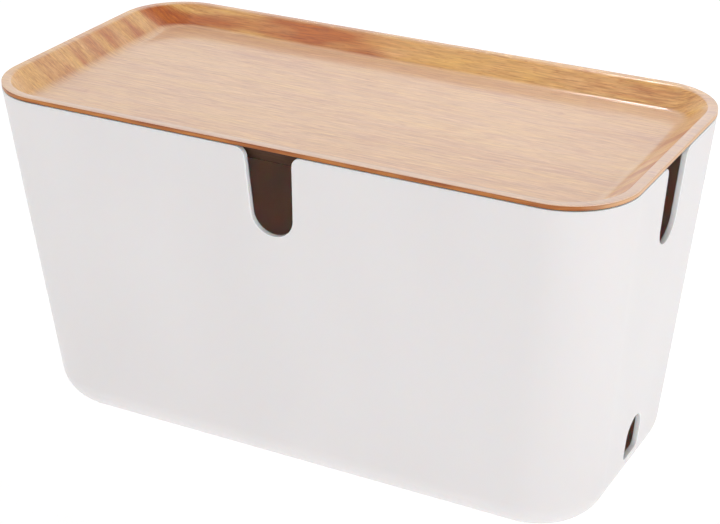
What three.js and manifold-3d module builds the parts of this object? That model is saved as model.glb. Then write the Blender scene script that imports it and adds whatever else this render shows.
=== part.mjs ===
// Lidded cable management box. An open-topped moulded shell holds a power strip and its slack
// cables, cables leave by slots in all four walls and by low holes in the two ends, a dished
// sheet of moulded veneer rests on the rim as a lift-off lid and tray, and four rubber pads
// sit in pockets under the base.
//
// Millimetres, +Z up. The origin is under the middle of the box, on the surface it stands on.
// +X runs along the long sides, and -Y is the front.

import * as THREE from 'three';
import { mergeVertices } from 'three/addons/utils/BufferGeometryUtils.js';
import Module from 'manifold-3d';

const wasm = await Module();
wasm.setup();

// ---- driving dimensions ----

// The whole box
const LENGTH = 460; // over the rim
const WIDTH = 229; // over the rim
const BODY_HEIGHT = 250; // shell and lid edge together, from the underside of the base
const CORNER_RADIUS = 47; // plan corners of the shell and the lid
const CORNER_STEPS = 12;
const SEAT_GAP = 0.3; // between pieces that rest on each other

// Shell
const WALL = 4;
const BASE_INSET_END = 20.5; // how far the ends lean in, from rim to base
const BASE_INSET_SIDE = 22; // the same for the long sides
const BASE_FILLET = 25; // between the base and the walls, outside
const FILLET_STEPS = 8;

// Slots, open to the rim
const SLOT_DEPTH = 60;
const SLOT_END_RADIUS = 15.3; // round bottom
const SLOT_TOP_HALF_WIDTH = 17; // where the straight flanks meet the flared lips
const SLOT_LIP_RADIUS = 7;

// Low holes in the ends, flat at the bottom and round at the top
const HOLE_WIDTH = 26.5;
const HOLE_HEIGHT = 30;
const HOLE_SILL = 25.5; // its bottom edge, above the underside of the base
const HOLE_CORNER_RADIUS = 4.5;

// Tray lid
const SHEET = 4; // thickness of the moulded veneer
const LIP_WIDTH = 6; // flat lip, from the cut edge to the shoulder
const TRAY_DEPTH = 14;
const FLOOR_INSET_END = 25; // from the cut edge to the foot of the slope, at the ends
const FLOOR_INSET_SIDE = 16; // the same at the long sides
const FLOOR_CORNER_RADIUS = 18;
const SHOULDER_RADIUS = 4.5; // lip to slope, on the upper face
const DISH_RADIUS = 15; // slope to floor, on the upper face
const BEND_STEPS = 4;

// Feet
const FOOT_RADIUS = 7;
const FOOT_THICKNESS = 2.7;
const FOOT_STAND_OFF = 1.5; // how far they hold the base off the surface
const FOOT_CHAMFER = 0.5;
const FOOT_SIDES = 32;
const FOOT_X = 165;
const FOOT_Y = 48;

// ---- worked out from them ----

const SHELL_HEIGHT = BODY_HEIGHT - SHEET - SEAT_GAP;
const RIM_Z = FOOT_STAND_OFF + SHELL_HEIGHT;
const LID_TOP_Z = FOOT_STAND_OFF + BODY_HEIGHT;
const PAST_FACE = 10; // how far a cutter runs past the face that it cuts

// ---- lofted bowls ----

// One level of a bowl is a rounded rectangle: its height, how far it is set in from the box's
// outline at the ends and at the sides, and its corner radius.
function ring({ z, end, side, radius }) {
  const points = [];
  const centreX = LENGTH / 2 - end - radius;
  const centreY = WIDTH / 2 - side - radius;
  const quadrants = [[1, 1], [-1, 1], [-1, -1], [1, -1]];
  quadrants.forEach(([signX, signY], quadrant) => {
    for (let step = 0; step <= CORNER_STEPS; step++) {
      const angle = (quadrant + step / CORNER_STEPS) * (Math.PI / 2);
      const x = signX * centreX + radius * Math.cos(angle);
      const y = signY * centreY + radius * Math.sin(angle);
      points.push([x, y, z]);
    }
  });
  return points;
}

// A closed solid from its levels, which run from the middle of its underside, out and up to
// the edge, and back down inside to the middle of its floor.
function bowl(levels) {
  const rings = levels.map(ring);
  const count = rings[0].length;
  const positions = rings.flat(2);
  positions.push(0, 0, levels[0].z);
  positions.push(0, 0, levels[levels.length - 1].z);
  const underMiddle = rings.length * count;
  const floorMiddle = underMiddle + 1;
  const lastRing = (rings.length - 1) * count;
  const index = [];
  for (let j = 0; j < count; j++) {
    const next = (j + 1) % count;
    index.push(underMiddle, next, j);
    index.push(floorMiddle, lastRing + j, lastRing + next);
    for (let i = 0; i < rings.length - 1; i++) {
      const lower = i * count;
      const upper = lower + count;
      index.push(lower + j, lower + next, upper + next);
      index.push(lower + j, upper + next, upper + j);
    }
  }
  const geometry = new THREE.BufferGeometry();
  geometry.setAttribute('position', new THREE.Float32BufferAttribute(positions, 3));
  geometry.setIndex(index);
  return geometry;
}

// ---- cutting ----

function toSolid(geometry) {
  const plain = geometry.clone();
  plain.deleteAttribute('normal');
  plain.deleteAttribute('uv');
  const merged = mergeVertices(plain, 1e-4);
  return new wasm.Manifold(new wasm.Mesh({
    numProp: 3,
    vertProperties: new Float32Array(merged.attributes.position.array),
    triVerts: new Uint32Array(merged.index.array),
  }));
}

function toGeometry(solid) {
  const { vertProperties, triVerts } = solid.getMesh();
  const geometry = new THREE.BufferGeometry();
  geometry.setAttribute('position', new THREE.BufferAttribute(vertProperties, 3));
  geometry.setIndex(new THREE.BufferAttribute(triVerts, 1));
  return geometry;
}

// A cutter with a given outline, which is drawn across and up. It runs along Y, right through
// both long walls, and a quarter turn about Z takes it through both ends instead.
function cutterThrough(outline, span) {
  const length = span + 2 * PAST_FACE;
  const geometry = new THREE.ExtrudeGeometry(outline, {
    depth: length,
    bevelEnabled: false,
    curveSegments: CORNER_STEPS,
  });
  geometry.translate(0, 0, -length / 2);
  geometry.rotateX(Math.PI / 2);
  return geometry;
}

// ---- shell ----

// A wall and its fillet, from the base up. The same rule gives the outside, with thickness 0,
// and the inside of the shell.
function wallLevels(thickness) {
  const fillet = BASE_FILLET - thickness;
  const level = (height, inset) => {
    const lean = 1 - height / SHELL_HEIGHT;
    return {
      z: FOOT_STAND_OFF + height,
      end: BASE_INSET_END * lean + inset,
      side: BASE_INSET_SIDE * lean + inset,
      radius: CORNER_RADIUS - inset,
    };
  };
  const levels = [];
  for (let step = 0; step <= FILLET_STEPS; step++) {
    const angle = (step / FILLET_STEPS) * (Math.PI / 2);
    const height = thickness + fillet * (1 - Math.cos(angle));
    levels.push(level(height, thickness + fillet * (1 - Math.sin(angle))));
  }
  levels.push(level(SHELL_HEIGHT, thickness));
  return levels;
}

function slotOutline() {
  const bottom = RIM_Z - SLOT_DEPTH + SLOT_END_RADIUS;
  const shoulder = RIM_Z - SLOT_LIP_RADIUS;
  const mouth = SLOT_TOP_HALF_WIDTH + SLOT_LIP_RADIUS;
  const outline = new THREE.Shape();
  outline.moveTo(-mouth, RIM_Z + PAST_FACE);
  outline.lineTo(-mouth, RIM_Z);
  outline.absarc(-mouth, shoulder, SLOT_LIP_RADIUS, Math.PI / 2, 0, true);
  outline.lineTo(-SLOT_END_RADIUS, bottom);
  outline.absarc(0, bottom, SLOT_END_RADIUS, Math.PI, 2 * Math.PI, false);
  outline.lineTo(SLOT_TOP_HALF_WIDTH, shoulder);
  outline.absarc(mouth, shoulder, SLOT_LIP_RADIUS, Math.PI, Math.PI / 2, true);
  outline.lineTo(mouth, RIM_Z + PAST_FACE);
  outline.closePath();
  return outline;
}

function holeOutline() {
  const half = HOLE_WIDTH / 2;
  const sill = FOOT_STAND_OFF + HOLE_SILL;
  const spring = sill + HOLE_HEIGHT - half;
  const corner = HOLE_CORNER_RADIUS;
  const outline = new THREE.Shape();
  outline.moveTo(-half + corner, sill);
  outline.lineTo(half - corner, sill);
  outline.absarc(half - corner, sill + corner, corner, -Math.PI / 2, 0, false);
  outline.lineTo(half, spring);
  outline.absarc(0, spring, half, 0, Math.PI, false);
  outline.lineTo(-half, sill + corner);
  outline.absarc(-half + corner, sill + corner, corner, Math.PI, 1.5 * Math.PI, false);
  return outline;
}

function footPocket(x, y) {
  const depth = FOOT_THICKNESS - FOOT_STAND_OFF + SEAT_GAP;
  const radius = FOOT_RADIUS + SEAT_GAP;
  const height = depth + PAST_FACE;
  const pocket = new THREE.CylinderGeometry(radius, radius, height, FOOT_SIDES);
  pocket.rotateX(Math.PI / 2);
  pocket.translate(x, y, FOOT_STAND_OFF + depth - height / 2);
  return pocket;
}

function boxShell() {
  const body = bowl([...wallLevels(0), ...wallLevels(WALL).reverse()]);
  const cutters = [
    cutterThrough(slotOutline(), WIDTH),
    cutterThrough(slotOutline(), LENGTH).rotateZ(Math.PI / 2),
    cutterThrough(holeOutline(), LENGTH).rotateZ(Math.PI / 2),
    ...footPlaces.map(({ x, y }) => footPocket(x, y)),
  ];
  const cut = cutters.reduce((solid, cutter) => solid.subtract(toSolid(cutter)), toSolid(body));
  return toGeometry(cut);
}

// ---- tray lid ----

// The section of the dish, as how far in and how far down it has come, each from 0 at the
// shoulder to 1 at the floor. Its two bends are arcs on the end slopes. The side slopes are
// steeper, so there the same section is squeezed and its bends are tighter.
function dishSection(shoulderRadius, dishRadius) {
  const run = FLOOR_INSET_END - LIP_WIDTH;
  const slope = Math.atan2(TRAY_DEPTH, run);
  const shoulderReach = shoulderRadius * Math.tan(slope / 2);
  const dishReach = dishRadius * Math.tan(slope / 2);
  const section = [];
  for (let step = 0; step <= BEND_STEPS; step++) {
    const turn = (slope * step) / BEND_STEPS;
    section.push({
      along: (-shoulderReach + shoulderRadius * Math.sin(turn)) / run,
      down: (shoulderRadius * (1 - Math.cos(turn))) / TRAY_DEPTH,
    });
  }
  for (let step = BEND_STEPS; step >= 0; step--) {
    const turn = (slope * step) / BEND_STEPS;
    section.push({
      along: (run + dishReach - dishRadius * Math.sin(turn)) / run,
      down: 1 - (dishRadius * (1 - Math.cos(turn))) / TRAY_DEPTH,
    });
  }
  return section;
}

// The levels of one face of the dish. The underside lies a sheet's thickness below the upper
// face, measured square to each slope, so its bends sit a little nearer the edge.
function dishLevels(drop, shoulderRadius, dishRadius) {
  const runEnd = FLOOR_INSET_END - LIP_WIDTH;
  const runSide = FLOOR_INSET_SIDE - LIP_WIDTH;
  const nearerEnd = drop * Math.tan(Math.atan2(TRAY_DEPTH, runEnd) / 2);
  const nearerSide = drop * Math.tan(Math.atan2(TRAY_DEPTH, runSide) / 2);
  const lipRadius = CORNER_RADIUS - LIP_WIDTH + (nearerEnd + nearerSide) / 2;
  const squeeze = CORNER_RADIUS - LIP_WIDTH - FLOOR_CORNER_RADIUS;
  return dishSection(shoulderRadius, dishRadius).map(({ along, down }) => ({
    z: LID_TOP_Z - drop - TRAY_DEPTH * down,
    end: LIP_WIDTH - nearerEnd + runEnd * along,
    side: LIP_WIDTH - nearerSide + runSide * along,
    radius: lipRadius - squeeze * along,
  }));
}

function trayLid() {
  const edge = (z) => ({ z, end: 0, side: 0, radius: CORNER_RADIUS });
  return bowl([
    ...dishLevels(SHEET, SHOULDER_RADIUS - SHEET, DISH_RADIUS + SHEET).reverse(),
    edge(LID_TOP_Z - SHEET),
    edge(LID_TOP_Z),
    ...dishLevels(0, SHOULDER_RADIUS, DISH_RADIUS),
  ]);
}

// ---- feet ----

const footPlaces = [
  { name: 'foot_front_left', x: -FOOT_X, y: -FOOT_Y },
  { name: 'foot_front_right', x: FOOT_X, y: -FOOT_Y },
  { name: 'foot_back_left', x: -FOOT_X, y: FOOT_Y },
  { name: 'foot_back_right', x: FOOT_X, y: FOOT_Y },
];

function foot() {
  const profile = [
    new THREE.Vector2(0, 0),
    new THREE.Vector2(FOOT_RADIUS - FOOT_CHAMFER, 0),
    new THREE.Vector2(FOOT_RADIUS, FOOT_CHAMFER),
    new THREE.Vector2(FOOT_RADIUS, FOOT_THICKNESS),
    new THREE.Vector2(0, FOOT_THICKNESS),
  ];
  return new THREE.LatheGeometry(profile, FOOT_SIDES).rotateX(Math.PI / 2);
}

// ---- materials ----

function whitePlastic() {
  return new THREE.MeshStandardMaterial({ color: 0xebe7e6, roughness: 0.42, metalness: 0 });
}

function lacqueredVeneer() {
  return new THREE.MeshStandardMaterial({ color: 0xd9a877, roughness: 0.35, metalness: 0 });
}

function darkRubber() {
  return new THREE.MeshStandardMaterial({ color: 0x3a3836, roughness: 0.85, metalness: 0 });
}

// ---- assembly ----

function piece(name, geometry, material) {
  geometry.computeVertexNormals();
  const mesh = new THREE.Mesh(geometry, material);
  mesh.name = name;
  return mesh;
}

const cableBox = new THREE.Group();
cableBox.add(piece('box_shell', boxShell(), whitePlastic()));
cableBox.add(piece('tray_lid', trayLid(), lacqueredVeneer()));
for (const { name, x, y } of footPlaces) {
  const pad = piece(name, foot(), darkRubber());
  pad.position.set(x, y, 0);
  cableBox.add(pad);
}

export default cableBox;
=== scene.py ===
import math

import bmesh
import bpy
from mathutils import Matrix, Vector
from mathutils.geometry import tessellate_polygon


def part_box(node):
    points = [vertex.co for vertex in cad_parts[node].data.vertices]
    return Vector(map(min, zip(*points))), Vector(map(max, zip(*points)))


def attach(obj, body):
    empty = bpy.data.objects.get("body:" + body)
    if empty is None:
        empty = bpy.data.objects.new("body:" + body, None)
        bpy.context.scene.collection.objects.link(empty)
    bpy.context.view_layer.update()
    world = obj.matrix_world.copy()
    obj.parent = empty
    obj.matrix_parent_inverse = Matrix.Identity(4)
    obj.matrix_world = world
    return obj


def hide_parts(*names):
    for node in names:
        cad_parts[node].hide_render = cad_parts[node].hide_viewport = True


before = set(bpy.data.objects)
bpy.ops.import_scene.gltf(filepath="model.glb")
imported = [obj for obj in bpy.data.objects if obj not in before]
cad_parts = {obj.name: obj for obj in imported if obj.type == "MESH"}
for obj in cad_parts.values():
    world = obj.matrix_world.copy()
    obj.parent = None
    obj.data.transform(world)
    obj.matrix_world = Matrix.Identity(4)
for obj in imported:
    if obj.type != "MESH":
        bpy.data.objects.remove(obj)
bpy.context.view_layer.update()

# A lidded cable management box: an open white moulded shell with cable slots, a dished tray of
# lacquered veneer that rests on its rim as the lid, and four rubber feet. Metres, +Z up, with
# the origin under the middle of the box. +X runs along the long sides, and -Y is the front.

MM = 0.001

# ---- sizes, in metres ----

shell_low, shell_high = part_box("box_shell")
lid_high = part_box("tray_lid")[1]
foot_low, foot_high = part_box("foot_front_left")

LENGTH = shell_high.x - shell_low.x
WIDTH = shell_high.y - shell_low.y
BASE_Z = shell_low.z
SHELL_HEIGHT = shell_high.z - shell_low.z
CORNER_RADIUS = 47 * MM

WALL = 4 * MM
BASE_INSET_END = 20.5 * MM  # how far the ends lean in, from rim to base
BASE_INSET_SIDE = 22 * MM
BASE_FILLET = 25 * MM
EDGE_RADIUS = 0.5 * MM  # every edge of the moulding is eased by this much

SLOT_DEPTH = 60 * MM
SLOT_END_RADIUS = 15.3 * MM
SLOT_TOP_HALF_WIDTH = 17 * MM
SLOT_LIP_RADIUS = 7 * MM

HOLE_WIDTH = 26.5 * MM
HOLE_HEIGHT = 30 * MM
HOLE_SILL = 25.5 * MM
HOLE_CORNER_RADIUS = 4.5 * MM

SHEET = 4 * MM  # thickness of the veneer sheet
LIP_WIDTH = 6 * MM
TRAY_DEPTH = 14 * MM
FLOOR_INSET_END = 25 * MM
FLOOR_INSET_SIDE = 16 * MM
FLOOR_CORNER_RADIUS = 18 * MM
SHOULDER_RADIUS = 4.5 * MM
DISH_RADIUS_END = 15 * MM
DISH_RADIUS_SIDE = 5 * MM
LID_TOP_EASE = 0.7 * MM  # the sanded upper edge of the cut sheet
LID_UNDER_EASE = 0.9 * MM

FOOT_RADIUS = (foot_high.x - foot_low.x) / 2
FOOT_EASE = 0.5 * MM
POCKET_GAP = 0.3 * MM

WELD = 0.001 * MM  # points nearer than this are one point
CORNER_STEPS = 28
EASE_STEPS = 5
FILLET_STEPS = 14
WALL_STEPS = 6
BEND_STEPS = 12
FOOT_SIDES = 64
SLOT_END_STEPS = 20
SLOT_LIP_STEPS = 12
HOLE_CORNER_STEPS = 6
HOLE_CROWN_STEPS = 20


# ---- camera ----

SENSOR_WIDTH = 36  # both in millimetres, as Blender has them
LENS = 93.75
CAMERA_PLACE = (0.5590, -1.0460, 0.6927)
CAMERA_AZIMUTH = 27.896
CAMERA_ELEVATION = 25.666


def aim(thing, back):
    """Turns a camera or a light to look along -back, level with the horizon."""
    thing.rotation_mode = "QUATERNION"
    thing.rotation_quaternion = (-Vector(back)).to_track_quat("-Z", "Y")


def direction(azimuth, elevation):
    """The way from the box to a viewer. Azimuth 0 is in front, at -Y, and 90 is at +X."""
    a, e = math.radians(azimuth), math.radians(elevation)
    return Vector((math.sin(a) * math.cos(e), -math.cos(a) * math.cos(e), math.sin(e)))


def make_camera():
    data = bpy.data.cameras.new("camera")
    data.sensor_width = SENSOR_WIDTH
    data.lens = LENS
    camera = bpy.data.objects.new("camera", data)
    camera.location = CAMERA_PLACE
    aim(camera, direction(CAMERA_AZIMUTH, CAMERA_ELEVATION))
    bpy.context.scene.collection.objects.link(camera)
    bpy.context.scene.camera = camera


make_camera()


# ---- mesh tools ----

def arc(centre, radius, start, end, steps):
    """Points of a plane arc, by angle in degrees, both ends included."""
    points = []
    for step in range(steps + 1):
        angle = math.radians(start + (end - start) * step / steps)
        points.append((centre[0] + radius * math.cos(angle), centre[1] + radius * math.sin(angle)))
    return points


def finish_mesh(bm, name):
    """Welds a mesh, turns its faces outward, and shades it smooth with its flats kept flat."""
    bmesh.ops.remove_doubles(bm, verts=bm.verts, dist=WELD)
    bmesh.ops.recalc_face_normals(bm, faces=bm.faces)
    for face in bm.faces:
        face.smooth = True
    mesh = bpy.data.meshes.new(name)
    bm.to_mesh(mesh)
    bm.free()
    piece = bpy.data.objects.new(name, mesh)
    bpy.context.scene.collection.objects.link(piece)
    flats = piece.modifiers.new("flats", "WEIGHTED_NORMAL")
    flats.weight = 100
    return piece


def add_strip(bm, rows, closed=False):
    """Quads between rows of points that all have the same count."""
    grid = [[bm.verts.new(point) for point in row] for row in rows]
    for low, high in zip(grid, grid[1:]):
        count = len(low)
        for j in range(count if closed else count - 1):
            k = (j + 1) % count
            bm.faces.new((low[j], low[k], high[k], high[j]))
    return grid


# ---- shell ----

def plan_centre(height):
    """Centre of the plan corner at a height above the base, in the quarter where x, y > 0."""
    lean = 1 - height / SHELL_HEIGHT
    x = LENGTH / 2 - CORNER_RADIUS - BASE_INSET_END * lean
    y = WIDTH / 2 - CORNER_RADIUS - BASE_INSET_SIDE * lean
    return x, y


def side_point(x, height, depth):
    """A point of the long wall, a depth below its outer face."""
    return (x, plan_centre(height)[1] + CORNER_RADIUS - depth, BASE_Z + height)


def end_point(y, height, depth):
    """A point of the end wall, a depth below its outer face."""
    return (plan_centre(height)[0] + CORNER_RADIUS - depth, y, BASE_Z + height)


def corner_points(height, depth, radius=None):
    """A level line round the corner, from the long wall to the end wall."""
    centre = plan_centre(height)
    reach = CORNER_RADIUS - depth if radius is None else radius
    return [(x, y, BASE_Z + height) for x, y in arc(centre, reach, 90, 0, CORNER_STEPS)]


def eased_edge():
    """(distance from the cut, depth below the outer face) across an edge of the wall, from
    the outer face, round the outer arris, over the cut and round the inner arris."""
    turns = [math.radians(90 * step / EASE_STEPS) for step in range(EASE_STEPS, -1, -1)]
    outer = [(EDGE_RADIUS * (1 - math.cos(t)), EDGE_RADIUS * (1 - math.sin(t))) for t in turns]
    inner = [(away, WALL - depth) for away, depth in reversed(outer)]
    return outer + inner


def slot_path(rim_end):
    """Half of a slot and the rim beside it, across and up, from the slot's lowest point."""
    bottom = SHELL_HEIGHT - SLOT_DEPTH + SLOT_END_RADIUS
    shoulder = SHELL_HEIGHT - SLOT_LIP_RADIUS
    lip_centre = (SLOT_TOP_HALF_WIDTH + SLOT_LIP_RADIUS, shoulder)
    round_end = arc((0, bottom), SLOT_END_RADIUS, -90, 0, SLOT_END_STEPS)
    lip = arc(lip_centre, SLOT_LIP_RADIUS, 180, 90, SLOT_LIP_STEPS)
    return round_end + lip + [(rim_end, SHELL_HEIGHT)]


def hole_path():
    """Half of a low hole, across and up, from the middle of its sill to its crown."""
    half = HOLE_WIDTH / 2
    spring = HOLE_SILL + HOLE_HEIGHT - half
    corner_centre = (half - HOLE_CORNER_RADIUS, HOLE_SILL + HOLE_CORNER_RADIUS)
    corner = arc(corner_centre, HOLE_CORNER_RADIUS, -90, 0, HOLE_CORNER_STEPS)
    crown = arc((0, spring), half, 0, 90, HOLE_CROWN_STEPS)
    return [(0, HOLE_SILL)] + corner + crown


def path_normals(path, end_normal):
    """The way into the material at each point of a path, which keeps it on its right. A path
    starts square to the plane of symmetry, above material."""
    normals = [Vector((0, -1))]
    for before, here, after in zip(path, path[1:], path[2:]):
        one = (Vector(here) - Vector(before)).normalized()
        two = (Vector(after) - Vector(here)).normalized()
        along = (one + two).normalized()
        normals.append(Vector((along.y, -along.x)) / max(along.dot(one), 0.5))
    normals.append(Vector(end_normal))
    return normals


def eased_rows(path, normals, place, rim_level=None):
    """The path's rows of points across the eased edge. The last point keeps to the border
    with the corner, where rim_level gives it for a level."""
    rows = []
    for away, depth in eased_edge():
        flat = [Vector(point) + normal * away for point, normal in zip(path, normals)]
        if rim_level is not None:
            height = SHELL_HEIGHT - away
            flat[-1] = Vector((rim_level(height), height))
        rows.append([place(p.x, p.y, depth) for p in flat])
    return rows


def wall_heights():
    """Levels from the rim's easing down to the fillet."""
    top = SHELL_HEIGHT - EDGE_RADIUS
    return [top + (BASE_FILLET - top) * step / WALL_STEPS for step in range(WALL_STEPS + 1)]


def mark_painted_lit_edge(bm, grid):
    """Marks the points of an edge of the wall, which is drawn paler than its faces. The paler
    white is painted light on edges that stand in the box's shade; the moulding itself is one
    white.
    """
    cut = bm.verts.layers.float["cut"]
    for row in grid:
        for vert in row:
            vert[cut] = 1


def add_side_wall(bm):
    """A quarter's half of a long wall: the slot, the rim, and both faces."""
    def border(height):
        return plan_centre(height)[0]

    path = slot_path(border(SHELL_HEIGHT))
    rows = eased_rows(path, path_normals(path, (0, -1)), side_point, border)
    mark_painted_lit_edge(bm, add_strip(bm, rows)[1:-1])
    for row, depth in ((rows[0], 0), (rows[-1], WALL)):
        edge = [side_point(border(height), height, depth) for height in wall_heights()[1:]]
        foot = [side_point(0, BASE_FILLET, depth)]
        bm.faces.new([bm.verts.new(point) for point in row + edge + foot])


def add_end_wall(bm):
    """A quarter's half of an end wall: the slot, the rim, the low hole, and both faces."""
    def border(height):
        return plan_centre(height)[1]

    slot = slot_path(border(SHELL_HEIGHT))
    hole = hole_path()
    slot_rows = eased_rows(slot, path_normals(slot, (0, -1)), end_point, border)
    hole_rows = eased_rows(hole, path_normals(hole, (0, 1)), end_point)
    mark_painted_lit_edge(bm, add_strip(bm, slot_rows)[1:-1])
    mark_painted_lit_edge(bm, add_strip(bm, hole_rows)[1:-1])
    for side, depth in ((0, 0), (-1, WALL)):
        edge = [end_point(border(height), height, depth) for height in wall_heights()[1:]]
        foot = [end_point(0, BASE_FILLET, depth)]
        outline = slot_rows[side] + edge + foot + hole_rows[side]
        bm.faces.new([bm.verts.new(point) for point in outline])


def add_corner(bm):
    """A corner, from the fillet up outside, over the rim, and down to the fillet inside."""
    levels = wall_heights()
    outside = [(height, 0) for height in reversed(levels)]
    rim = [(SHELL_HEIGHT - away, depth) for away, depth in eased_edge()]
    inside = [(height, WALL) for height in levels]
    rows = outside + rim[1:-1] + inside
    grid = add_strip(bm, [corner_points(height, depth) for height, depth in rows])
    mark_painted_lit_edge(bm, grid[len(outside):-len(inside)])


def quarter_line(height, reach):
    """A quarter of a level line, from the middle of a long wall to the middle of an end."""
    centre = plan_centre(height)
    corner = corner_points(height, 0, reach)
    z = BASE_Z + height
    return [(0, centre[1] + reach, z)] + corner + [(centre[0] + reach, 0, z)]


def add_fillet(bm, depth):
    """The turn from wall to base. Returns its last line, which bounds the base."""
    rows = []
    radius = BASE_FILLET - depth
    for step in range(FILLET_STEPS + 1):
        turn = math.radians(90 * (1 - step / FILLET_STEPS))
        height = BASE_FILLET - radius * math.cos(turn)
        rows.append(quarter_line(height, CORNER_RADIUS - BASE_FILLET + radius * math.sin(turn)))
    add_strip(bm, rows)
    return rows[-1]


def add_underside(bm, outline):
    """A quarter of the underside with the pocket that a foot sits in."""
    foot_x = (foot_low.x + foot_high.x) / -2
    foot_y = (foot_low.y + foot_high.y) / -2
    mouth = arc((foot_x, foot_y), FOOT_RADIUS + POCKET_GAP, 0, 360, FOOT_SIDES)[:-1]
    roof_z = foot_high.z + POCKET_GAP
    rows = [[(x, y, z) for x, y in mouth] for z in (BASE_Z, roof_z)]
    add_strip(bm, rows, closed=True)
    bm.faces.new([bm.verts.new(point) for point in rows[1]])
    border = outline + [(0, 0, BASE_Z)]
    points = [bm.verts.new(point) for point in border + rows[0]]
    rings = [[Vector(point) for point in border], [Vector(point) for point in rows[0]]]
    for triangle in tessellate_polygon(rings):
        bm.faces.new([points[index] for index in triangle])


def mirror(bm, flip):
    """Adds the mirror image of all that is there."""
    copy = bmesh.ops.duplicate(bm, geom=bm.verts[:] + bm.edges[:] + bm.faces[:])["geom"]
    verts = [item for item in copy if isinstance(item, bmesh.types.BMVert)]
    faces = [item for item in copy if isinstance(item, bmesh.types.BMFace)]
    bmesh.ops.scale(bm, vec=flip, verts=verts)
    bmesh.ops.reverse_faces(bm, faces=faces)
    bmesh.ops.remove_doubles(bm, verts=bm.verts, dist=WELD)


def make_shell():
    bm = bmesh.new()
    bm.verts.layers.float.new("cut")
    add_side_wall(bm)
    add_end_wall(bm)
    add_corner(bm)
    add_underside(bm, add_fillet(bm, 0))
    floor = add_fillet(bm, WALL)
    middle = (0, 0, floor[0][2])
    bm.faces.new([bm.verts.new(point) for point in floor + [middle]])
    bmesh.ops.remove_doubles(bm, verts=bm.verts, dist=WELD)
    mirror(bm, (-1, 1, 1))
    mirror(bm, (1, -1, 1))
    return finish_mesh(bm, "shell")


# ---- tray lid ----

def level_ring(z, end, side, radius):
    """A rounded rectangle at one level, set in from the box's outline at ends and sides."""
    centre_x = LENGTH / 2 - end - radius
    centre_y = WIDTH / 2 - side - radius
    points = []
    for quadrant, (sign_x, sign_y) in enumerate(((1, 1), (-1, 1), (-1, -1), (1, -1))):
        centre = (sign_x * centre_x, sign_y * centre_y)
        start = 90 * quadrant
        points += [(x, y, z) for x, y in arc(centre, radius, start, start + 90, CORNER_STEPS)]
    return points


def dish_slope(run):
    """How steeply the dish falls, as an angle, where it runs in this far."""
    return math.atan2(TRAY_DEPTH, run)


def dish_inset(depth, run, shoulder_radius, dish_radius):
    """How far in from the lip one side of the dish has come at a depth below the lip: over a
    rounded shoulder, down a straight slope, and round into the floor."""
    slope = dish_slope(run)
    reach = math.tan(slope / 2)
    above_floor = TRAY_DEPTH - depth
    if depth < shoulder_radius * (1 - math.cos(slope)):
        turn = math.acos(1 - depth / shoulder_radius)
        return shoulder_radius * (math.sin(turn) - reach)
    if above_floor < dish_radius * (1 - math.cos(slope)):
        turn = math.acos(min(1 - above_floor / dish_radius, 1))
        return run + dish_radius * (reach - math.sin(turn))
    return depth / math.tan(slope)


def dish_depths(runs, shoulder_radius, dish_radii):
    """The depths at which the face is drawn, close together wherever a side of it bends."""
    depths = set()
    for run, dish_radius in zip(runs, dish_radii):
        for step in range(BEND_STEPS + 1):
            sagitta = 1 - math.cos(dish_slope(run) * step / BEND_STEPS)
            depths.add(round(shoulder_radius * sagitta, 6))
            depths.add(round(TRAY_DEPTH - dish_radius * sagitta, 6))
    return sorted(depths)


def dish_levels(drop):
    """Levels of one face of the dish, drop below the upper face, square to each slope."""
    runs = [inset - LIP_WIDTH for inset in (FLOOR_INSET_END, FLOOR_INSET_SIDE)]
    nearer = [drop * math.tan(dish_slope(run) / 2) for run in runs]
    shoulder_radius = SHOULDER_RADIUS - drop
    dish_radii = [DISH_RADIUS_END + drop, DISH_RADIUS_SIDE + drop]
    lip_radius = CORNER_RADIUS - LIP_WIDTH + sum(nearer) / 2
    squeeze = CORNER_RADIUS - LIP_WIDTH - FLOOR_CORNER_RADIUS
    levels = []
    for depth in dish_depths(runs, shoulder_radius, dish_radii):
        end, side = [
            dish_inset(depth, run, shoulder_radius, dish_radius)
            for run, dish_radius in zip(runs, dish_radii)
        ]
        radius = lip_radius - squeeze * (end / runs[0] + side / runs[1]) / 2
        z = lid_high.z - drop - depth
        levels.append((z, LIP_WIDTH - nearer[0] + end, LIP_WIDTH - nearer[1] + side, radius))
    return levels


def cut_edge_levels():
    """The cut edge of the sheet, from its underside up, with both arrises eased."""
    under_z = lid_high.z - SHEET
    under = arc((LID_UNDER_EASE, under_z + LID_UNDER_EASE), LID_UNDER_EASE, 270, 180, EASE_STEPS)
    top = arc((LID_TOP_EASE, lid_high.z - LID_TOP_EASE), LID_TOP_EASE, 180, 90, EASE_STEPS)
    return [(z, inset, inset, CORNER_RADIUS - inset) for inset, z in under + top]


def slack(levels, column):
    """How much longer the sheet is than its plan, from the floor out to each level. Levels run
    from the floor outward, and column picks the ends' insets or the sides'."""
    total, slacks = 0, [0]
    for low, high in zip(levels, levels[1:]):
        rise, run = high[0] - low[0], abs(high[column] - low[column])
        total += math.hypot(rise, run) - run
        slacks.append(total)
    return slacks


def ring_angle(j):
    """Which way a point of a level ring faces, in degrees from +X."""
    per_corner = CORNER_STEPS + 1
    return 90 * (j // per_corner + (j % per_corner) / CORNER_STEPS)


def add_grain(grid, levels, grain):
    """Writes where each point of one face lay on the flat veneer before it was pressed, as
    along the grain, across it, and height."""
    ends, sides = slack(levels, 1), slack(levels, 2)
    for row, extra_end, extra_side in zip(grid, ends, sides):
        for j, vert in enumerate(row):
            angle = math.radians(ring_angle(j))
            along = vert.co.x + math.cos(angle) * extra_end
            across = vert.co.y + math.sin(angle) * extra_side
            vert[grain] = (along, across, vert.co.z)


FACE, EDGE, BACK = range(3)  # the lid's materials
# LIP_FRONT and LIP_BACK set the strength of the lip's painted highlight, strongest at the front
# and the right.
LIP_FRONT = 1.0  # marks for the lip, past any slant that a face has
LIP_BACK = 0.78


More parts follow.
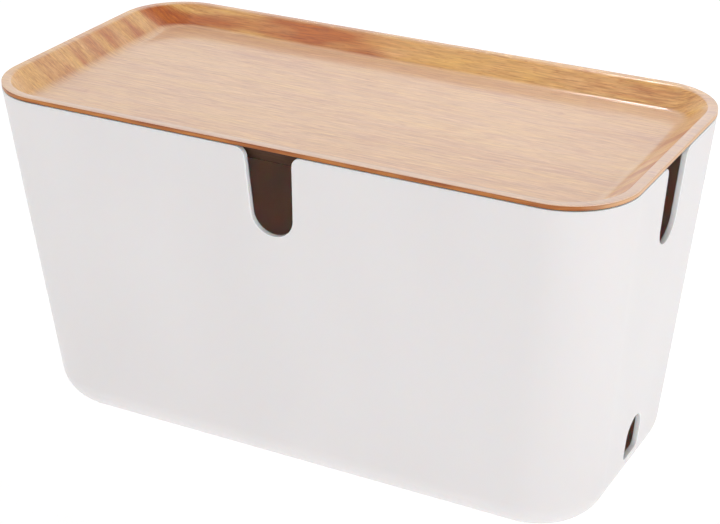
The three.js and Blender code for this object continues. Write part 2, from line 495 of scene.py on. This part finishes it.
def lip_highlight_mark(j):
    """The slant written on the lip, which is drawn palest at the front and the right: a painted
    highlight where the light falls on the lip.
    """
    nearness = 0.5 + math.cos(math.radians(ring_angle(j) + 45)) / math.sqrt(2)
    return LIP_BACK + (LIP_FRONT - LIP_BACK) * min(max(nearness, 0), 1)


def make_lid():
    under = dish_levels(SHEET)[::-1]
    edge = cut_edge_levels()
    upper = dish_levels(0)
    bm = bmesh.new()
    bm.verts.layers.float_vector.new("grain")
    bm.verts.layers.float.new("slant")
    grain = bm.verts.layers.float_vector["grain"]
    slant = bm.verts.layers.float["slant"]
    grid = add_strip(bm, [level_ring(*level) for level in under + edge + upper], closed=True)
    bm.faces.new(grid[0])
    bm.faces.new(grid[-1])
    upper_edge = len(under) + EASE_STEPS + 1
    add_grain(grid[:upper_edge], (under + edge)[:upper_edge], grain)
    add_grain(grid[:upper_edge - 1:-1], (upper[::-1] + edge[:EASE_STEPS:-1]), grain)
    bm.normal_update()
    for row in grid:
        for j, vert in enumerate(row):
            # On the lip and its upper arris the slant holds the painted highlight's mark instead.
            on_lip = vert.co.z > lid_high.z - LID_TOP_EASE
            vert[slant] = lip_highlight_mark(j) if on_lip else 1 - abs(vert.normal.z)
    # Most of the lower arris takes the dark underside colour: partly the underside's own colour,
    # partly painted shade for the seam where the lid sits on the rim.
    below = len(under) + EASE_STEPS - 1
    bands = [BACK] * below + [EDGE] * 2 + [FACE] * (len(grid) - below - 2)
    bm.verts.index_update()
    for face in bm.faces:
        row = min(vert.index for vert in face.verts) // len(grid[0])
        face.material_index = bands[row]
    return finish_mesh(bm, "lid")


# ---- feet ----

def make_foot(node):
    low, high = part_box(node)
    centre = (low + high) / 2
    ease = arc((FOOT_RADIUS - FOOT_EASE, low.z + FOOT_EASE), FOOT_EASE, -90, 0, EASE_STEPS)
    profile = ease + [(FOOT_RADIUS, high.z)]
    bm = bmesh.new()
    rows = []
    for radius, z in profile:
        circle = arc((centre.x, centre.y), radius, 0, 360, FOOT_SIDES)[:-1]
        rows.append([(x, y, z) for x, y in circle])
    grid = add_strip(bm, rows, closed=True)
    bm.faces.new(grid[0])
    bm.faces.new(grid[-1])
    return finish_mesh(bm, node.replace("foot", "pad"))


# ---- materials ----

class Nodes:
    """A material's node tree, with short calls for what the materials here use."""

    def __init__(self, name):
        self.material = bpy.data.materials.new(name)
        self.material.use_nodes = True
        self.tree = self.material.node_tree
        self.shader = self.tree.nodes["Principled BSDF"]

    def connect(self, value, target):
        if isinstance(value, bpy.types.NodeSocket):
            self.tree.links.new(value, target)
        else:
            target.default_value = value

    def set(self, **values):
        """Shader inputs by name, each a constant or another node's output."""
        for key, value in values.items():
            self.connect(value, self.shader.inputs[key.replace("_", " ")])

    def math(self, operation, first, second=0.0):
        made = self.tree.nodes.new("ShaderNodeMath")
        made.operation = operation
        self.connect(first, made.inputs[0])
        self.connect(second, made.inputs[1])
        return made.outputs[0]

    def vector(self, operation, first, second=(0, 0, 0)):
        made = self.tree.nodes.new("ShaderNodeVectorMath")
        made.operation = operation
        self.connect(first, made.inputs[0])
        self.connect(second, made.inputs[1])
        return made.outputs["Value" if operation == "LENGTH" else "Vector"]

    def attribute(self, name, output="Vector"):
        """What make_lid or make_shell wrote on the mesh, as a vector or as a number (Fac)."""
        made = self.tree.nodes.new("ShaderNodeAttribute")
        made.attribute_name = name
        return made.outputs[output]

    def position(self):
        return self.tree.nodes.new("ShaderNodeTexCoord").outputs["Object"]

    def normal(self):
        return self.tree.nodes.new("ShaderNodeTexCoord").outputs["Normal"]

    def split(self, vector):
        made = self.tree.nodes.new("ShaderNodeSeparateXYZ")
        self.connect(vector, made.inputs[0])
        return made.outputs

    def join(self, x, y, z):
        made = self.tree.nodes.new("ShaderNodeCombineXYZ")
        for value, target in zip((x, y, z), made.inputs):
            self.connect(value, target)
        return made.outputs[0]

    def noise(self, vector, detail=2.0, roughness=0.5):
        """Noise with features about one unit of the vector apart."""
        made = self.tree.nodes.new("ShaderNodeTexNoise")
        made.inputs["Scale"].default_value = 1
        made.inputs["Detail"].default_value = detail
        made.inputs["Roughness"].default_value = roughness
        self.connect(vector, made.inputs["Vector"])
        return made.outputs["Fac"]

    def bands(self, distance, detail=2.0):
        """Noise along one line, for layers about one unit of distance apart."""
        made = self.tree.nodes.new("ShaderNodeTexNoise")
        made.noise_dimensions = "1D"
        made.inputs["Scale"].default_value = 1
        made.inputs["Detail"].default_value = detail
        self.connect(distance, made.inputs["W"])
        return made.outputs["Fac"]

    def ramp(self, factor, *stops):
        """A colour or a grey for each value, from (value, colour) stops."""
        made = self.tree.nodes.new("ShaderNodeValToRGB")
        points = made.color_ramp.elements
        for _ in stops[2:]:
            points.new(0.5)
        for point, (place, colour) in zip(points, stops):
            point.position = place
            point.color = (*colour, 1) if isinstance(colour, tuple) else (colour,) * 3 + (1,)
        self.connect(factor, made.inputs[0])
        return made.outputs["Color"]

    def blend(self, kind, factor, first, second):
        made = self.tree.nodes.new("ShaderNodeMix")
        made.data_type = "RGBA"
        made.blend_type = kind
        self.connect(factor, made.inputs["Factor"])
        for value, target in zip((first, second), (made.inputs[6], made.inputs[7])):
            self.connect((*value, 1) if isinstance(value, tuple) else value, target)
        return made.outputs[2]

    def bump(self, height, distance):
        """Relief in metres where height goes from 0 to 1."""
        made = self.tree.nodes.new("ShaderNodeBump")
        made.inputs["Distance"].default_value = distance
        self.connect(height, made.inputs["Height"])
        self.connect(made.outputs["Normal"], self.shader.inputs["Normal"])


def white_plastic():
    """Moulded plastic with a fine matt texture, which passes a little light."""
    n = Nodes("white_plastic")
    texture = n.noise(n.vector("MULTIPLY", n.position(), (2200, 2200, 2200)), 1.5)
    flow = n.noise(n.vector("MULTIPLY", n.position(), (9, 9, 5)), 1.0)
    white = n.ramp(flow, (0.3, (0.745, 0.717, 0.717)), (0.7, (0.77, 0.742, 0.743)))
    n.set(
        # The wall's edges are painted a paler white: painted light on edges that stand in shade.
        Base_Color=n.blend("MIX", n.attribute("cut", "Fac"), white, (0.96, 0.95, 0.95)),
        Roughness=n.ramp(texture, (0.3, 0.36), (0.7, 0.46)),
        Specular_IOR_Level=0.5,
        Subsurface_Weight=0.6,
        Subsurface_Radius=(1.0, 0.72, 0.56),
        Subsurface_Scale=5 * MM,
    )
    n.bump(texture, 0.012 * MM)
    return n.material


def growth_rings(n, flat):
    """Layers of a trunk cut a little off its axis, so that they close in tall arches."""
    drift = n.noise(n.vector("MULTIPLY", flat, (3.2, 14, 14)), 2.0)
    along, across, _ = n.split(flat)
    shifted = n.math("ADD", across, n.math("MULTIPLY", n.math("SUBTRACT", drift, 0.5), 0.05))
    off_axis = n.math("ADD", n.math("MULTIPLY", along, 0.11), 0.016)
    radius = n.vector("LENGTH", n.join(shifted, off_axis, 0.0))
    return n.bands(n.math("MULTIPLY", radius, 560), 2.0)


def veneer(name, pale, deep, streak, roughness):
    """Oak-like veneer, grain along X, from the attribute that says where it lay when flat."""
    n = Nodes(name)
    flat = n.attribute("grain")
    rings = growth_rings(n, flat)
    fibres = n.noise(n.vector("MULTIPLY", flat, (60, 1000, 300)), 2.0, 0.6)
    streaks = n.noise(n.vector("MULTIPLY", flat, (42, 520, 120)), 3.0, 0.65)
    pores = n.noise(n.vector("MULTIPLY", flat, (130, 1500, 500)), 1.0)
    patches = n.noise(n.vector("MULTIPLY", flat, (22, 95, 30)), 2.0)
    heart = n.noise(n.vector("MULTIPLY", flat, (6, 40, 30)), 1.0)
    dark_streaks = n.math("MULTIPLY", streaks, n.math("ADD", heart, 0.5))
    wood = n.ramp(rings, (0.3, pale), (0.7, deep))
    wood = n.blend("MIX", n.ramp(dark_streaks, (0.46, 0.0), (0.72, 0.8)), wood, streak)
    fine = n.ramp(fibres, (0.3, (0.80, 0.72, 0.64)), (0.7, (1.11, 1.15, 1.20)))
    wood = n.blend("MULTIPLY", 1.0, wood, fine)
    tint = n.ramp(patches, (0.3, (1.02, 1.02, 0.86)), (0.7, (0.99, 0.96, 1.14)))
    wood = n.blend("MULTIPLY", 1.0, wood, tint)
    wood = n.blend("MULTIPLY", 1.0, wood, n.ramp(pores, (0.6, 1.0), (0.7, (0.84, 0.68, 0.55))))
    n.set(
        Base_Color=wood,
        Roughness=n.ramp(fibres, (0.3, roughness), (0.7, roughness + 0.1)),
    )
    n.bump(n.ramp(pores, (0.6, 1.0), (0.72, 0.0)), 0.02 * MM)
    return n, wood


def tray_face():
    """Clear lacquer over the veneer. Where the sheet lies level it is painted paler, a painted
    reflection of the white surround, and the lip is painted paler still as a painted highlight;
    the slopes have warmer, darker flame patches, deeper towards the back left and the front right."""
    tones = (0.90, 0.535, 0.175), (0.83, 0.45, 0.13), (0.64, 0.25, 0.055)
    n, wood = veneer("lacquered_veneer", *tones, 0.5)
    slant = n.attribute("slant", "Fac")
    flat = n.attribute("grain")
    along, across, _ = n.split(flat)
    sideways = n.math("MULTIPLY", across, n.math("ABSOLUTE", across))
    drift = n.math("MULTIPLY", n.math("MULTIPLY", along, sideways), -100)
    flames = n.math("ADD", n.noise(n.vector("MULTIPLY", flat, (9, 50, 25)), 2.0), drift)
    bent = n.ramp(slant, (0.05, 0.0), (0.2, 1.0), (0.7, 1.0), (1.0, 0.0))
    warmth = n.math("MULTIPLY", bent, n.ramp(flames, (0.48, 0.0), (0.68, 1.0)))
    wood = n.blend("MULTIPLY", warmth, wood, (0.68, 0.32, 0.08))
    # Painted reflection and painted highlight: level parts are mixed towards a pale pink as if
    # they mirrored the white surround, and the lip is mixed paler still, most at the front and the
    # right.
    painted_sheen_and_highlight = n.ramp(slant, (0.01, 0.32), (0.3, 0.0), (0.7, 0.0), (1.0, 0.52))
    n.set(Base_Color=n.blend("MIX", painted_sheen_and_highlight, wood, (0.82, 0.69, 0.70)))
    n.set(Specular_IOR_Level=0.8, Coat_Weight=0.8, Coat_Roughness=0.14)
    return n.material


def tray_back():
    """The same veneer in a dark brown, under the tray."""
    tones = (0.095, 0.05, 0.033), (0.075, 0.04, 0.026), (0.05, 0.025, 0.016)
    n, _ = veneer("dark_underside_veneer", *tones, 0.75)
    n.set(Specular_IOR_Level=0.1)
    return n.material


def cut_edge():
    """The lacquered edge of the pressed plies, painted paler where it faces an end: a painted
    highlight for the light that falls on the ends.
    """
    n = Nodes("veneer_edge")
    flat = n.attribute("grain")
    height = n.split(flat)[2]
    plies = n.bands(n.math("MULTIPLY", height, 900), 0.0)
    streaks = n.noise(n.vector("MULTIPLY", flat, (30, 60, 500)), 3.0, 0.6)
    wood = n.ramp(streaks, (0.35, (0.53, 0.195, 0.04)), (0.65, (0.30, 0.075, 0.014)))
    # Painted highlight: the edge turns pale where it faces along X.
    painted_end_highlight = n.ramp(n.math("ABSOLUTE", n.split(n.normal())[0]), (0.5, 0.0), (0.95, 0.85))
    wood = n.blend("MIX", painted_end_highlight, wood, (0.74, 0.45, 0.25))
    wood = n.blend("MULTIPLY", 1.0, wood, n.ramp(plies, (0.35, 0.9), (0.65, 1.05)))
    n.set(Base_Color=wood, Roughness=n.ramp(streaks, (0.3, 0.34), (0.7, 0.44)))
    n.set(Specular_IOR_Level=0.3, Coat_Weight=0.15, Coat_Roughness=0.25)
    n.bump(plies, 0.02 * MM)
    return n.material


def dark_rubber():
    n = Nodes("dark_rubber")
    grit = n.noise(n.vector("MULTIPLY", n.position(), (1500, 1500, 1500)), 3.0)
    n.set(
        Base_Color=n.ramp(grit, (0.3, (0.022, 0.022, 0.023)), (0.7, (0.04, 0.04, 0.041))),
        Roughness=n.ramp(grit, (0.3, 0.7), (0.7, 0.88)),
        Specular_IOR_Level=0.35,
    )
    n.bump(grit, 0.03 * MM)
    return n.material


# ---- the object ----

def add_piece(piece, body, slot, nodes, *materials):
    for material in materials:
        piece.data.materials.append(material)
    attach(piece, body)
    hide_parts(*nodes)


add_piece(make_shell(), "box", "shell_plastic", ["box_shell"], white_plastic())
add_piece(make_lid(), "lid", "tray_veneer", ["tray_lid"], tray_face(), cut_edge(), tray_back())
rubber = dark_rubber()
for foot_node in sorted(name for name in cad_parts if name.startswith("foot_")):
    add_piece(make_foot(foot_node), "box", "foot_rubber", [foot_node], rubber)


# ---- stage ----

FLOOR_SIZE = 6
FLOOR_TONE = (0.45, 0.45, 0.45, 1)
FLOOR_GLOW = 0.72  # the floor is a lit white table
HORIZON_LIGHT = 1.15
ZENITH_LIGHT = 0.15


def make_floor():
    bm = bmesh.new()
    bmesh.ops.create_grid(bm, x_segments=1, y_segments=1, size=FLOOR_SIZE)
    mesh = bpy.data.meshes.new("floor")
    bm.to_mesh(mesh)
    bm.free()
    floor = bpy.data.objects.new("floor", mesh)
    bpy.context.scene.collection.objects.link(floor)
    n = Nodes("pale_floor")
    n.set(Base_Color=FLOOR_TONE, Roughness=1.0, Specular_IOR_Level=0.0)
    n.set(Emission_Color=(1, 1, 1, 1), Emission_Strength=FLOOR_GLOW)
    n.material.cycles.emission_sampling = "NONE"
    mesh.materials.append(n.material)


def add_panel(name, azimuth, elevation, distance, size, radiance, target=(0, 0), spread=180):
    """A soft light panel, aimed at a point over the box's rim. Radiance is how bright its face
    looks from there, and spread how wide its light fans out, in degrees."""
    data = bpy.data.lights.new(name, "AREA")
    data.shape = "RECTANGLE"
    data.size, data.size_y = size
    data.energy = radiance * size[0] * size[1] * math.pi
    if spread < 180:
        data.spread = math.radians(spread)
        half = data.spread / 2
        data.energy *= (math.tan(half) - half) / math.tan(half)
    light = bpy.data.objects.new(name, data)
    back = direction(azimuth, elevation)
    light.location = back * distance + Vector((*target, SHELL_HEIGHT))
    aim(light, back)
    light.visible_camera = False
    bpy.context.scene.collection.objects.link(light)
    return light


def make_world():
    """A white surround that lights the box a little less than its own white would, and less
    from overhead than from the horizon."""
    world = bpy.data.worlds.new("studio")
    bpy.context.scene.world = world
    world.use_nodes = True
    tree = world.node_tree
    height = tree.nodes.new("ShaderNodeSeparateXYZ")
    tree.links.new(tree.nodes.new("ShaderNodeTexCoord").outputs["Generated"], height.inputs[0])
    light = tree.nodes.new("ShaderNodeMapRange")
    light.inputs["To Min"].default_value = HORIZON_LIGHT
    light.inputs["To Max"].default_value = ZENITH_LIGHT
    tree.links.new(height.outputs["Z"], light.inputs["Value"])
    seen = tree.nodes.new("ShaderNodeLightPath").outputs["Is Camera Ray"]
    strength = tree.nodes.new("ShaderNodeMix")
    strength.inputs["B"].default_value = 1.0
    tree.links.new(seen, strength.inputs["Factor"])
    tree.links.new(light.outputs["Result"], strength.inputs["A"])
    background = tree.nodes["Background"]
    background.inputs["Color"].default_value = (1, 1, 1, 1)
    tree.links.new(strength.outputs["Result"], background.inputs["Strength"])


make_floor()
make_world()
add_panel("rear_panel", 208, 28, 2.0, (1.4, 1.0), 0.35)
add_panel("key_panel", 60, 12, 2.0, (1.3, 1.3), 1.55)
add_panel("front_panel", -35, 52, 2.0, (1.2, 1.2), 0.6)
top_panel = add_panel("top_panel", 204, 64, 1.52, (0.34, 0.3), 20.6)
top_panel.visible_glossy = False

# This one only shines in the crease at the back right of the tray.
crease = (0.165, 0.1)
crease_panel = add_panel("crease_panel", 217, 64.3, 1.516, (0.27, 0.3), 48.0, crease, 24)
crease_panel.visible_diffuse = False
bpy.context.scene.view_settings.view_transform = "Standard"
